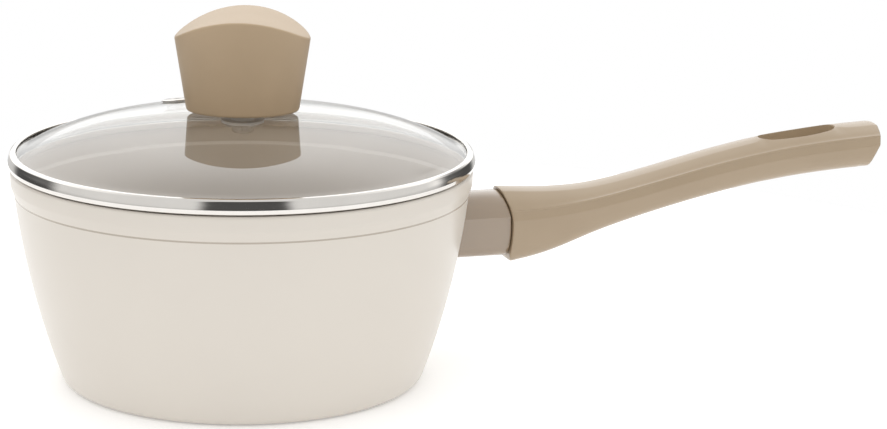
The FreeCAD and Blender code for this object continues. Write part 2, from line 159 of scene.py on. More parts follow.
def set_camera():
    data = bpy.data.cameras.new("camera")
    data.lens = CAMERA_LENS
    data.sensor_width = 36.0
    data.clip_start = 0.01
    camera = bpy.data.objects.new("camera", data)
    bpy.context.scene.collection.objects.link(camera)
    swing = Matrix.Rotation(-CAMERA_SWING, 4, "Z")
    place = Vector((0, -CAMERA_DISTANCE * math.cos(CAMERA_RISE),
                    CAMERA_AIM_HEIGHT + CAMERA_DISTANCE * math.sin(CAMERA_RISE)))
    turn = Matrix.Rotation(-CAMERA_SWING - CAMERA_TURN, 4, "Z")
    tilt = Matrix.Rotation(math.pi / 2 - CAMERA_RISE, 4, "X")
    roll = Matrix.Rotation(CAMERA_ROLL, 4, "Z")
    camera.matrix_world = Matrix.Translation(swing @ place) @ turn @ tilt @ roll
    bpy.context.scene.camera = camera
    print("camera at", [round(v, 4) for v in camera.location])


set_camera()

# %% [markdown]
# ## Light and background
# The pan stands in a white sweep, lit mostly by its surroundings. The world is a soft white
# all round with a brighter backdrop behind the pan, which gives the glass and the upper faces
# their pale sheen. Three soft dark openings stand low round the horizon: polished steel only
# reads as steel when some of what it mirrors is dark. Only mirror rays see the openings, as
# if small black flags stood just out of frame. The camera itself sees plain white.

# %% Reading a direction
WORLD_LIGHT = 0.87
BACKDROP_LIGHT = 1.52
UNDER_LIGHT = 0.70            # below the horizon, beyond the edge of the floor
HORIZON = (-0.03, 0.10)       # sines of the heights between which one light turns to the other


class Sky:
    """Short calls for the nodes that shade the world by direction."""

    def __init__(self, tree):
        self.tree = tree
        where = tree.nodes.new("ShaderNodeTexCoord").outputs["Generated"]
        split = tree.nodes.new("ShaderNodeSeparateXYZ")
        tree.links.new(where, split.inputs[0])
        self.height = split.outputs["Z"]
        self.azimuth = self.maths("ARCTAN2", split.outputs["Y"], split.outputs["X"])

    def maths(self, operation, a, b=None):
        node = self.tree.nodes.new("ShaderNodeMath")
        node.operation = operation
        for socket, value in zip(node.inputs, (a, b)):
            if isinstance(value, bpy.types.NodeSocket):
                self.tree.links.new(value, socket)
            elif value is not None:
                socket.default_value = value
        return node.outputs[0]

    def ease(self, value, start, end):
        """0 at start, 1 at end, and smooth between."""
        node = self.tree.nodes.new("ShaderNodeMapRange")
        node.interpolation_type = "SMOOTHSTEP"
        node.inputs["From Min"].default_value = start
        node.inputs["From Max"].default_value = end
        self.tree.links.new(value, node.inputs["Value"])
        return node.outputs[0]

    def patch(self, middle, half, soft, top, fade):
        """1 within half degrees of an azimuth, up to a height (a sine), and soft outside."""
        near = self.maths("COSINE", self.maths("SUBTRACT", self.azimuth, math.radians(middle)))
        wide = self.ease(near, math.cos(math.radians(half + soft)),
                         math.cos(math.radians(max(half - soft, 0.0))))
        return self.maths("MULTIPLY", wide, self.ease(self.height, top + fade, top))


# %% [markdown]
# ## The world's light
# A ready-made studio environment would do, but a few patches placed by direction are easier
# to move and to understand. Each has a middle, a half width and a soft
# edge in degrees, and a top. The backdrop adds light, and each opening takes most of it away.

# %% World
BACKDROP = (77.0, 72.0, 10.0, 0.6, 0.36)      # azimuth, half width, softness, top, fade
OPENINGS = (                                   # the same, and how much light is taken away
    ((-101.7, 21.0, 3.5, 0.92, 0.06), 0.90),
    ((134.0, 20.0, 6.0, 0.42, 0.2), 0.88),
    ((30.0, 20.0, 6.0, 0.42, 0.2), 0.88),
)


def light_world():
    world = bpy.data.worlds.new("studio")
    bpy.context.scene.world = world
    world.use_nodes = True
    tree = world.node_tree
    tree.nodes.clear()
    sky = Sky(tree)
    above = sky.ease(sky.height, *HORIZON)
    behind = sky.maths("MULTIPLY", sky.patch(*BACKDROP), BACKDROP_LIGHT - WORLD_LIGHT)
    extra = sky.maths("ADD", behind, WORLD_LIGHT - UNDER_LIGHT)
    light = sky.maths("ADD", sky.maths("MULTIPLY", extra, above), UNDER_LIGHT)
    ray = tree.nodes.new("ShaderNodeLightPath")
    for opening, dark in OPENINGS:
        seen = sky.maths("MULTIPLY", ray.outputs["Is Glossy Ray"], dark)
        shade = sky.maths("SUBTRACT", 1.0, sky.maths("MULTIPLY", sky.patch(*opening), seen))
        light = sky.maths("MULTIPLY", light, shade)
    lit = tree.nodes.new("ShaderNodeBackground")
    lit.inputs["Color"].default_value = (1.0, 0.995, 0.985, 1.0)
    tree.links.new(light, lit.inputs["Strength"])
    plain = tree.nodes.new("ShaderNodeBackground")
    plain.inputs["Color"].default_value = (1.0, 1.0, 1.0, 1.0)
    plain.inputs["Strength"].default_value = 1.0
    mix = tree.nodes.new("ShaderNodeMixShader")
    tree.links.new(ray.outputs["Is Camera Ray"], mix.inputs[0])
    tree.links.new(lit.outputs[0], mix.inputs[1])
    tree.links.new(plain.outputs[0], mix.inputs[2])
    out = tree.nodes.new("ShaderNodeOutputWorld")
    tree.links.new(mix.outputs[0], out.inputs["Surface"])
    print("world nodes:", len(tree.nodes))


light_world()

# %% [markdown]
# ## Two softboxes
# The world alone lights everything too evenly. A large softbox overhead gives the knob and the
# handle a lighter top, and a weak one in front lifts the pan's wall. Neither shows in mirror
# rays, because in steel or glass a lamp would be a hard-edged white square.

# %% Softboxes, in metres and watts
def softbox(name, place, aim, size, power):
    light = bpy.data.lights.new(name, "AREA")
    light.shape = "RECTANGLE"
    light.size, light.size_y = size
    light.energy = power
    lamp = bpy.data.objects.new(name, light)
    lamp.location = place
    lamp.rotation_euler = (Vector(aim) - Vector(place)).to_track_quat("-Z", "Y").to_euler()
    lamp.visible_glossy = False
    bpy.context.scene.collection.objects.link(lamp)
    print(name, "watts", power)


softbox("softbox_top", place=(0.0, -0.3, 1.5), aim=(0.05, 0.0, 0.05), size=(1.8, 1.8), power=5.0)
softbox("softbox_front", place=(-0.2, -1.1, 0.9), aim=(0.05, 0.0, 0.08), size=(0.8, 0.8), power=1.0)

# %% [markdown]
# ## Finishes
# Each finish starts from the Principled shader. Whatever is the same all over is set on the
# shader itself, and only what varies over the surface comes from nodes: a slight drift of
# colour, a grain or a ripple as bump, and a roughness that isn't perfectly even. Building each
# node tree by hand would be long and easy to get wrong, so a small class does the wiring.

# %% Helpers for finishes
NOISE_SPAN = (0.3, 0.7)       # a noise is rarely below or above these


class Finish:
    """A material under construction: its shader, and short calls for the usual nodes."""

    def __init__(self, name, **settings):
        self.material = bpy.data.materials.new(name)
        self.material.use_nodes = True
        self.tree = self.material.node_tree
        self.shader = self.tree.nodes["Principled BSDF"]
        self.place = self.node("ShaderNodeTexCoord").outputs["Object"]
        for socket, value in settings.items():
            self.shader.inputs[socket.replace("_", " ")].default_value = value

    def node(self, kind, **inputs):
        made = self.tree.nodes.new(kind)
        for socket, value in inputs.items():
            self.feed(made.inputs[socket.replace("_", " ")], value)
        return made

    def feed(self, socket, value):
        if isinstance(value, bpy.types.NodeSocket):
            self.tree.links.new(value, socket)
        else:
            socket.default_value = value

    def noise(self, size_mm, detail=2.0, place=None):
        texture = self.node("ShaderNodeTexNoise", Scale=1000.0 / size_mm, Detail=detail,
                            Vector=place or self.place)
        return texture.outputs["Fac"]

    def colours(self, driver, low, high):
        """Drift from low to high over the middle part of a noise, where its values lie."""
        ramp = self.node("ShaderNodeValToRGB", Fac=driver)
        for stop, place, colour in zip(ramp.color_ramp.elements, NOISE_SPAN, (low, high)):
            stop.position = place
            stop.color = (*colour, 1.0)
        self.feed(self.shader.inputs["Base Color"], ramp.outputs["Color"])

    def varied_roughness(self, driver, low, high):
        span = self.node("ShaderNodeMapRange", Value=driver, To_Min=low, To_Max=high)
        self.feed(self.shader.inputs["Roughness"], span.outputs["Result"])

    def bump(self, driver, height_mm, strength=1.0):
        made = self.node("ShaderNodeBump", Height=driver, Distance=height_mm * MM,
                         Strength=strength)
        self.feed(self.shader.inputs["Normal"], made.outputs["Normal"])

    def turned_place(self):
        """Coordinates that only change across a lathe's rings, for turned or spun metal."""
        split = self.node("ShaderNodeSeparateXYZ", Vector=self.place)
        flat = self.node("ShaderNodeCombineXYZ", X=split.outputs["X"], Y=split.outputs["Y"])
        length = self.node("ShaderNodeVectorMath", Vector=flat.outputs["Vector"])
        length.operation = "LENGTH"
        rings = self.node("ShaderNodeCombineXYZ", X=length.outputs["Value"],
                          Z=split.outputs["Z"])
        return rings.outputs["Vector"]


# %% [markdown]
# The pan wears a ceramic coat: a cream colour under a clear gloss. Sprayed coats dry with a
# faint orange peel, a ripple a few millimetres across, which softens what they mirror.

# %% Cream coat outside, and a darker inside with painted shade
def cream_coat():
    finish = Finish("cream_coat", Coat_Weight=0.1, Coat_Roughness=0.12, Roughness=0.3,
                    Specular_IOR_Level=0.35)
    finish.colours(finish.noise(70.0), (0.680, 0.634, 0.574), (0.696, 0.650, 0.588))
    finish.varied_roughness(finish.noise(9.0), 0.27, 0.33)
    finish.bump(finish.noise(2.6, detail=0.0), 0.0022)
    return finish.material


# Painted shade: the inside's colour is partly its own darker coat and partly the lid's shade,
# painted in.
def inner_coat_and_shade():
    finish = Finish("inner_coat_and_shade", Roughness=0.34)
    finish.colours(finish.noise(60.0), (0.432, 0.378, 0.318), (0.458, 0.402, 0.340))
    finish.varied_roughness(finish.noise(6.0), 0.20, 0.27)
    finish.bump(finish.noise(1.6, detail=1.0), 0.004)
    return finish.material


# %% [markdown]
# The knob and handle are moulded phenolic with a soft touch: a very fine grain and no gloss.
# The handle also has a thin rough coat, for a broad pale sheen where the light grazes it. The
# knob has none. It is the same plastic painted a little lighter: painted light, because the knob
# stands high above the floor and gets less light than the handle. The flame guard has a
# darker, smoother paint on metal under a clear coat.

# %% Taupe plastic and paint
def taupe_plastic(name, sheen, low, high):
    finish = Finish(name, Coat_Weight=sheen, Coat_Roughness=0.3, Coat_IOR=1.7, Roughness=0.42)
    finish.colours(finish.noise(25.0, detail=3.0), low, high)
    finish.varied_roughness(finish.noise(1.2), 0.38, 0.46)
    finish.bump(finish.noise(0.35, detail=2.0), 0.006, strength=0.5)
    return finish.material


def taupe_paint():
    finish = Finish("taupe_paint", Coat_Weight=1.0, Coat_Roughness=0.2, Coat_IOR=2.0,
                    Roughness=0.34)
    finish.colours(finish.noise(18.0), (0.248, 0.172, 0.100), (0.262, 0.183, 0.108))
    finish.varied_roughness(finish.noise(2.5), 0.30, 0.38)
    finish.bump(finish.noise(1.1, detail=1.0), 0.004)
    return finish.material


# %% [markdown]
# Metals differ mostly in how they were worked. The lid's band is rolled and buffed, so it keeps
# faint lines along the roll. The disc in the base was faced on a lathe and has clear rings. The
# bracket is as cast. The screws are plain bright steel.

# %% Metals
def polished_steel():
    finish = Finish("polished_steel", Metallic=1.0, Roughness=0.10)
    rings = finish.noise(0.22, detail=2.0, place=finish.turned_place())
    finish.colours(finish.noise(12.0), (0.730, 0.706, 0.674), (0.765, 0.742, 0.710))
    finish.varied_roughness(rings, 0.07, 0.15)
    finish.bump(rings, 0.0016)
    return finish.material


def faced_steel():
    finish = Finish("faced_steel", Metallic=1.0, Roughness=0.30)
    rings = finish.noise(0.45, detail=3.0, place=finish.turned_place())
    finish.colours(rings, (0.52, 0.515, 0.50), (0.66, 0.655, 0.64))
    finish.varied_roughness(rings, 0.24, 0.38)
    finish.bump(rings, 0.010)
    return finish.material


def cast_aluminium():
    finish = Finish("cast_aluminium", Metallic=1.0, Roughness=0.45)
    finish.colours(finish.noise(3.0), (0.60, 0.60, 0.59), (0.72, 0.72, 0.71))
    finish.varied_roughness(finish.noise(1.0), 0.38, 0.55)
    finish.bump(finish.noise(0.8, detail=3.0), 0.04)
    return finish.material


def bright_steel():
    finish = Finish("bright_steel", Metallic=1.0, Roughness=0.22)
    finish.colours(finish.noise(1.5), (0.60, 0.60, 0.59), (0.70, 0.70, 0.69))
    finish.varied_roughness(finish.noise(0.6), 0.16, 0.28)
    finish.bump(finish.noise(0.3, detail=2.0), 0.003)
    return finish.material


def knurled_brass():
    finish = Finish("knurled_brass", Metallic=1.0, Roughness=0.3)
    finish.colours(finish.noise(2.0), (0.62, 0.44, 0.18), (0.74, 0.55, 0.25))
    finish.bump(finish.noise(0.5), 0.02)
    return finish.material


# %% [markdown]
# The lid is tempered glass, modelled as a solid of its full thickness. Heating and quenching
# leaves a very long, very shallow waviness. The plain way is one glass shader with an index of
# 1.5, but here that bends what is seen through the dome too much. So the body has almost no
# refraction, and a strong clear coat on the top face alone brings the mirror images. A second
# coat underneath would double the image of the steel band. Real glass lets the light into the
# pan, and bent light paths are slow to find, so diffuse and shadow rays take the glass as
# clear. The silicone bushes are milky and soft.

# %% Glass and silicone
def lid_glass(name, gloss):
    finish = Finish(name, Transmission_Weight=1.0, IOR=1.02, Roughness=0.0,
                    Coat_Weight=gloss, Coat_Roughness=0.0, Coat_IOR=2.3)
    finish.colours(finish.noise(90.0), (0.965, 0.975, 0.970), (0.985, 0.990, 0.987))
    finish.bump(finish.noise(55.0, detail=0.0), 0.01)
    ray = finish.node("ShaderNodeLightPath")
    lit = finish.node("ShaderNodeMath")
    lit.operation = "MAXIMUM"
    finish.feed(lit.inputs[0], ray.outputs["Is Shadow Ray"])
    finish.feed(lit.inputs[1], ray.outputs["Is Diffuse Ray"])
    clear = finish.node("ShaderNodeBsdfTransparent")
    mix = finish.node("ShaderNodeMixShader", Fac=lit.outputs[0])
    finish.feed(mix.inputs[1], finish.shader.outputs["BSDF"])
    finish.feed(mix.inputs[2], clear.outputs["BSDF"])
    finish.feed(finish.tree.nodes["Material Output"].inputs["Surface"], mix.outputs["Shader"])
    return finish.material


def silicone(name, low, high):
    finish = Finish(name, Roughness=0.5)
    finish.colours(finish.noise(4.0), low, high)
    finish.bump(finish.noise(0.6), 0.01)
    return finish.material


# %% [markdown]
# ## Mixing the finishes
# Every finish is made once and shared, so two pieces of the same steel can't drift apart. Each
# pair of colours is the low and the high end of the drift.

# %% All the finishes
CREAM = cream_coat()
INSIDE_COAT_AND_SHADE = inner_coat_and_shade()
PLASTIC = taupe_plastic("taupe_plastic", 0.6, (0.358, 0.266, 0.168), (0.375, 0.281, 0.180))
# The knob's plastic is the handle's, painted lighter: painted light for a part that gets less
# light.
KNOB_PLASTIC_PAINTED_LIGHT = taupe_plastic("knob_plastic_painted_light", 0.0, (0.462, 0.344, 0.220), (0.484, 0.362, 0.234))
PAINT = taupe_paint()
POLISHED = polished_steel()
FACED = faced_steel()
CAST = cast_aluminium()
BRIGHT = bright_steel()
BRASS = knurled_brass()
GLASS = lid_glass("lid_glass", 1.0)
GLASS_UNDER = lid_glass("lid_glass_under", 0.0)
CLEAR_SILICONE = silicone("clear_silicone", (0.60, 0.60, 0.58), (0.68, 0.68, 0.66))
GREY_SILICONE = silicone("grey_silicone", (0.055, 0.050, 0.044), (0.075, 0.068, 0.060))
print("finishes:", len(bpy.data.materials))

# %% [markdown]
# ## The floor
# A round pale sheet under the pan, which glows faintly like a translucent shooting table and
# keeps the pan's foot bright. An endless plane would be simpler, but it would hide the dark
# openings from the steel band. It isn't part of the object.

# %% Floor
FLOOR_GLOW = 0.19
FLOOR_SIDES = 128
FLOOR_RADIUS = 430.0
FLOOR_Z = -0.3                # a hair below the pan's foot


def lay_floor():
    finish = Finish("pale_floor", Roughness=0.6, Emission_Color=(1.0, 1.0, 1.0, 1.0),
                    Emission_Strength=FLOOR_GLOW)
    finish.colours(finish.noise(400.0), (0.91, 0.91, 0.91), (0.93, 0.93, 0.93))
    turns = [math.tau * k / FLOOR_SIDES for k in range(FLOOR_SIDES)]
    edge = [(FLOOR_RADIUS * math.cos(t), FLOOR_RADIUS * math.sin(t), FLOOR_Z) for t in turns]
    floor = make_piece("floor", edge, [tuple(range(FLOOR_SIDES))], [finish.material])


lay_floor()

# %% [markdown]
# ## The pan's shell
# The real shell is one disc of aluminium, pressed and spun to a flared bowl with a small step
# and an upright collar. Its side is one long arc. The outline goes up the outside, over the
# rounded lip and down the inside, and the lathe turns it into one closed wall.

# %% Pan outline
pan_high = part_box("pan_body")[1]
LIP_RADIUS = pan_high.x / MM
LIP_TOP = pan_high.z / MM
WALL = 2.3
WALL_FOOT, WALL_MIDDLE, WALL_HEAD = (73.1, 0.0), (85.5, 42.0), (91.8, 79.4)
FLOOR_TOP = 4.0
LEDGE = 77.2                  # height of the step's ledge on the inside
LEDGE_OUT, LEDGE_RISE = 90.6, 1.2
STEP_FOOT, STEP_HEAD = 77.3, 81.4     # heights between which the outside steps out
STEP_OUT, STEP_ROUND = 92.9, 4.0
FOOT_ROUND, BASIN_ROUND = 4.5, 9.0
LIP_ROUND = 0.98              # of half the gauge, so the lip's two arcs don't quite meet
POCKET_RADIUS = 62.05
POCKET_DEPTH = 0.8
OUTER_STOPS, INNER_STOPS = range(10, 74, 4), range(72, 19, -4)    # heights along the side


def circle_through(a, b, c):
    """Centre and radius of the circle through three points of an outline."""
    ax, az = a
    bx, bz = b
    cx, cz = c
    d = 2 * (ax * (bz - cz) + bx * (cz - az) + cx * (az - bz))
    a2, b2, c2 = ax * ax + az * az, bx * bx + bz * bz, cx * cx + cz * cz
    x = (a2 * (bz - cz) + b2 * (cz - az) + c2 * (az - bz)) / d
    z = (a2 * (cx - bx) + b2 * (ax - cx) + c2 * (bx - ax)) / d
    return (x, z), math.hypot(ax - x, az - z)


WALL_CENTRE, WALL_ARC = circle_through(WALL_FOOT, WALL_MIDDLE, WALL_HEAD)
print("side arc radius mm", round(WALL_ARC, 1), "lip", round(LIP_RADIUS, 2), round(LIP_TOP, 2))


def wall_radius(z, inset=0.0):
    """The pan's radius at a height, measured a gauge inside its outer face."""
    rise = z - WALL_CENTRE[1]
    return WALL_CENTRE[0] + math.sqrt((WALL_ARC - inset) ** 2 - rise ** 2)


def pan_outline():
    lip = WALL / 2
    collar = LIP_TOP - lip
    up = [(wall_radius(z), z, 0) for z in OUTER_STOPS]
    down = [(wall_radius(z, WALL), z, 0) for z in INNER_STOPS]
    corners = [(0, POCKET_DEPTH, 0), (POCKET_RADIUS, POCKET_DEPTH, 0.15),
               (POCKET_RADIUS, 0, 0.25), (WALL_FOOT[0], 0, FOOT_ROUND), *up,
               (wall_radius(STEP_FOOT), STEP_FOOT, STEP_ROUND), (STEP_OUT, STEP_HEAD, STEP_ROUND),
               (LIP_RADIUS, collar, 0), (LIP_RADIUS, LIP_TOP, lip * LIP_ROUND),
               (LIP_RADIUS - WALL, LIP_TOP, lip * LIP_ROUND), (LIP_RADIUS - WALL, collar, 0),
               (LEDGE_OUT, LEDGE + LEDGE_RISE, 0.5), (wall_radius(LEDGE, WALL), LEDGE, 0.8),
               *down, (wall_radius(FLOOR_TOP, WALL), FLOOR_TOP, BASIN_ROUND), (0, FLOOR_TOP, 0)]
    return rounded(corners)


COLLAR_MIDDLE = LIP_RADIUS - WALL / 2


def inside_of_pan(x, y, z):
    r = math.hypot(x, y)
    if z > LIP_TOP - 0.6:
        return 0
    middle = wall_radius(z, WALL / 2) if z < LEDGE - 0.3 else COLLAR_MIDDLE
    return 1 if z > FLOOR_TOP - 0.1 and r < middle else 0


# %% [markdown]
# The cream coat covers the outside and the lip. The inside, collar included, has a darker and
# greyer finish: partly the coat's own tone, partly painted shade for the light that the lid and
# its band keep out of the pan. Two objects would leave a seam at the lip, so it is one mesh with
# two finishes, picked for each face by whether it lies inside the middle of the wall.

# %% Turn the pan
pan = lathe("pan_shell", pan_outline(), [CREAM, INSIDE_COAT_AND_SHADE], inside_of_pan)
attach(pan, "pan")
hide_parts("pan_body")

# %% [markdown]
# ## The flame guard
# A short sleeve keeps the plastic handle off the hot wall. Its outline is a rounded block with
# a low arched top, a crisp crease on each side and soft lower corners. The near end follows
# the curve of the pan, and the far end bows out to match the hollow face of the handle.

# %% The joint and the shared section
JOINT_X, JOINT_Z = 64.7, 57.0     # centre of the arc that the joint follows, seen from the side
JOINT_RADIUS = 46.0
JOINT_GAP = 0.4


def joint_x(z, gap=0.0):
    """How far along the handle the joint is at a height, or a face a gap beyond it."""
    return JOINT_X + math.sqrt((JOINT_RADIUS + gap) ** 2 - (z - JOINT_Z) ** 2)


print("joint at x", round(joint_x(JOINT_Z), 1))


def arch(y, half, top, foot):
    """Height of a circular arch over y, from its top down to its feet at +-half."""
    drop = top - foot
    radius = (half * half + drop * drop) / (2 * drop)
    return top - radius + math.sqrt(radius * radius - y * y)


def both_sides(half_points):
    """A whole ring from its +y half: over the top, down, and back up the other side."""
    other = [(-y, z) for y, z in half_points[-2:0:-1]]
    return list(half_points) + other


# %% [markdown]
# A box cut by two curved faces would do, but booleans leave ragged edges. So the sleeve is
# rings of one section, and each point of a ring is set along the handle by a rule: on the pan's
# wall, on the joint's arc, or a share of the way between them. The last ring runs back inside.

# %% Build the sleeve
GUARD_TOP = 71.304
GUARD_HALF = 13.7
GUARD_CREASE = 63.0
GUARD_BOTTOM = 45.5
GUARD_CORNER = 4.5
GUARD_GAUGE = 1.4
WALL_OVERLAP = 0.25           # how far the near end reaches into the pan's wall


def guard_ring(inset):
    """A whole section of the sleeve, drawn in by an inset, from the middle of its top."""
    top = GUARD_TOP - inset
    half = GUARD_HALF - inset
    neck = half - 0.3
    foot = GUARD_BOTTOM + inset
    corner = GUARD_CORNER - inset / 2
    ring = [(neck * t, arch(neck * t, neck, top, GUARD_CREASE))
            for t in (0, 0.2, 0.4, 0.58, 0.74, 0.87, 0.96, 1.0)]
    ring += [(half, GUARD_CREASE - 0.5), (half, GUARD_CREASE - 1.2)]
    waist = half - 0.5
    for t in (0.35, 0.7, 1.0):
        z = GUARD_CREASE - 1.2 + (foot + corner - GUARD_CREASE + 1.2) * t
        ring.append((half - 0.5 * t, z))
    for degrees in (22.5, 45, 67.5, 90):
        turn = math.radians(degrees)
        ring.append((waist - corner * (1 - math.cos(turn)), foot + corner * (1 - math.sin(turn))))
    ring += [((waist - corner) * t, foot) for t in (0.66, 0.33, 0.0)]
    return both_sides(ring)


def flame_guard():
    points, rings = [], []

    def ring(inset, x_of):
        first = len(points)
        for y, z in guard_ring(inset):
            points.append((x_of(y, z), y, z))
        rings.append(range(first, len(points)))

    def at_wall(y, z, out):
        r = wall_radius(z) + out
        return math.sqrt(r * r - y * y)

    ring(0.0, lambda y, z: at_wall(y, z, -WALL_OVERLAP))
    ring(0.0, lambda y, z: at_wall(y, z, 0.5))
    for share in (0.35, 0.7):
        ring(0.0, lambda y, z: at_wall(y, z, 0) * (1 - share) + joint_x(z) * share)
    ring(0.0, lambda y, z: joint_x(z) - 0.5)
    ring(0.12, lambda y, z: joint_x(z) - 0.1)
    ring(0.35, lambda y, z: joint_x(z))
    ring(GUARD_GAUGE, lambda y, z: joint_x(z))
    ring(GUARD_GAUGE, lambda y, z: at_wall(y, z, 0.2))
    faces = []
    for a, b in zip(rings, rings[1:] + rings[:1]):
        for k in range(len(a)):
            n = (k + 1) % len(a)
            faces.append((a[k], a[n], b[n], b[k]))
    return make_piece("flame_guard_sleeve", points, faces, [PAINT], sharp=25.0)


guard = flame_guard()
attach(guard, "pan")
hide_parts("flame_guard")

# %% [markdown]
# ## The handle
# The grip is the one piece here with no simple outline, so it is a subdivision cage. Sections
# stand along its length, and each has the same count of points: an arched crown, a crease, a
# narrow bevel, a flat side and a round lower corner. Points set close together on both sides
# of a crease keep it crisp when the surface is smoothed. The hanging slot is part of the cage:
# the middle strip is left open on top and below, and the two openings are joined by a wall.

# %% Handle sizes
HANDLE_STATIONS = (           # x, top, crease, bottom, half width
    (100.0, 73.4, 64.3, 42.6, 15.2),
    (114.0, 72.5, 64.4, 43.0, 15.2),
    (130.0, 71.4, 65.1, 46.5, 14.8),
    (150.0, 72.0, 67.8, 53.5, 14.3),
    (175.0, 76.9, 73.0, 60.3, 13.8),
    (203.0, 83.6, 79.3, 66.7, 13.6),
    (232.0, 89.0, 84.2, 71.7, 13.8),
    (260.0, 91.8, 87.1, 74.3, 14.0),
    (290.0, 93.2, 88.9, 75.2, 14.0),
)
TAIL_CORNERS = ((274.4, 74.0, 3.0), (280.0, 85.0, 1.5), (280.0, 93.25, 2.0))  # x, z, rounding
TAIL_BOW = 33.0               # radius of the tail's end, seen from above
SLOT_MIDDLE = 244.5
SLOT_HALF_LENGTH, SLOT_HALF_WIDTH = 17.6, 7.05
SLOT_SHOULDER = (13.0, 5.7)   # where the slot's long side meets its round end
SLOT_LEAN = math.tan(math.radians(6.0))
SLOT_LEVEL = 81.0             # the height at which the leaning slot is at its middle
EDGE = 0.5                    # how far a supporting line stands from the edge that it rounds
NECK_IN, WAIST_IN = 1.3, 0.5  # how much narrower the crease and the foot of the side are
BEVEL, GRIP_CORNER = 3.1, 5.5


def station(x):
    """Top, crease, bottom and half width at x, on a smooth curve through the stations."""
    table = HANDLE_STATIONS
    i = max(k for k in range(len(table) - 1) if table[k][0] <= x or k == 0)
    p1, p2 = table[i], table[i + 1]
    p0 = table[i - 1] if i > 0 else p1
    p3 = table[i + 2] if i + 2 < len(table) else p2
    t = (x - p1[0]) / (p2[0] - p1[0])
    values = []
    for a, b, c, d in zip(p0[1:], p1[1:], p2[1:], p3[1:]):
        span = p2[0] - p1[0]
        slope1 = (c - a) / (p2[0] - p0[0]) * span
        slope2 = (d - b) / (p3[0] - p1[0]) * span
        values.append((2 * t**3 - 3 * t**2 + 1) * b + (t**3 - 2 * t**2 + t) * slope1
                      + (3 * t**2 - 2 * t**3) * c + (t**3 - t**2) * slope2)
    return values


def slot_half(x):
    """Half width of the hanging slot at a distance x from its middle, an oval of four arcs."""
    reach, width = SLOT_SHOULDER
    x = abs(x)
    rise = SLOT_HALF_WIDTH - width
    if x < reach:
        radius = (reach ** 2 + rise ** 2) / (2 * rise)
        return SLOT_HALF_WIDTH - radius + math.sqrt(radius ** 2 - x * x)
    rise = SLOT_HALF_LENGTH - reach
    radius = (width ** 2 + rise ** 2) / (2 * rise)
    return math.sqrt(max(radius ** 2 - (x - SLOT_HALF_LENGTH + radius) ** 2, 0.0))


def grip_half(x, slot=None):
    """Half a section from the middle of the top to that of the bottom."""
    top, crease, bottom, half = station(x)
    neck = half - NECK_IN
    waist = half - WAIST_IN
    edge = slot if slot is not None else 0.36 * neck
    ys = [0.0, edge, edge + EDGE, max(0.74 * neck, edge + 2.5 * EDGE), 0.9 * neck]
    ring = [(y, arch(y, neck, top, crease)) for y in ys]
    ring += [(neck - 0.3, crease + 0.95), (neck, crease + 0.45), (neck - 0.22, crease + 0.1)]
    for t in (0.15, 0.82, 1.0):
        ring.append((neck + (half - neck) * t, crease - BEVEL * t))
    shoulder = crease - BEVEL
    low = bottom + GRIP_CORNER
    ring.append((half - 0.03, shoulder - 0.6))
    ring.append((half - 0.25, (shoulder + low) / 2))
    ring.append((waist, low))
    for degrees in (30, 60):
        turn = math.radians(degrees)
        ring.append((waist - GRIP_CORNER * (1 - math.cos(turn)),
                     low - GRIP_CORNER * math.sin(turn)))
    ring.append((max(waist - GRIP_CORNER, edge + EDGE), bottom))
    ring.append((edge, bottom))
    ring.append((0.0, bottom))
    return ring


LOW = len(grip_half(200.0)) - 1      # the last point of a half section, under the middle
TOP, TOP_EDGE, LOW_EDGE = 0, 1, LOW - 1
print("handle section points", 2 * LOW)


# %% [markdown]
# The tail end is cut to a blunt nose with rounded corners. Each point of the last sections is
# pushed back to that outline, which is found from its height.

# %% Tail outline
TAIL_START = 262.0
CHIN_X, CHIN_Z, CHIN_SLOPE = 109.4, 45.4, 0.75    # the cut below the front face
foot, tip, head = TAIL_CORNERS
TAIL = rounded([(TAIL_START, foot[1] - 0.3, 0), foot, tip, head, (TAIL_START, head[1] - 0.6, 0)],
               steps=10)
TAIL_EDGE = sorted((z, x) for x, z in TAIL[1:-1])
print("tail outline points", len(TAIL_EDGE))


def tail_x(y, z):
    """How far the handle reaches at a place of its section."""
    bow = y * y / (2 * TAIL_BOW)
    for (z0, x0), (z1, x1) in zip(TAIL_EDGE, TAIL_EDGE[1:]):
        if z <= z1:
            return x0 + (x1 - x0) * max(z - z0, 0.0) / max(z1 - z0, 1e-9) - bow
    return TAIL_EDGE[-1][1] - bow


def face_x(z):
    """Where the handle's front face is, with its chin rounded off below."""
    chin = CHIN_X + (CHIN_Z - z) * CHIN_SLOPE
    return max(joint_x(z, JOINT_GAP), chin)


# %% [markdown]
# A smoothed cage rounds over wherever its rings stand far apart. So the rings are close at the
# front face, at the ends of the slot and at the tail, and wide apart along the plain grip. At
# both ends the last rings are drawn in, which turns the edge over in a small radius.

# %% Sections of the cage
def shrunk(half_points, by):
    """A half section drawn in by a distance all round."""
    zs = [z for y, z in half_points]
    middle = (max(zs) + min(zs)) / 2
    wide = max(y for y, z in half_points)
    tall = (max(zs) - min(zs)) / 2
    return [(y * (1 - by / wide), middle + (z - middle) * (1 - by / tall))
            for y, z in half_points]


BLEND_STOPS = ((115.5, 0.55), (121.0, 0.2))       # x, and the joint's share of its bow
GRIP_STOPS = (128.0, 136.0, 145.0, 155.0, 166.0, 178.0, 190.0, 202.0, 212.0, 219.0, 223.8)
SLOT_STOPS = (-17.3, -16.0, -13.8, -10.2, -5.4, 0.0, 5.4, 10.2, 13.8, 16.0, 17.3)
BEYOND_STOPS = (265.0, 269.0)


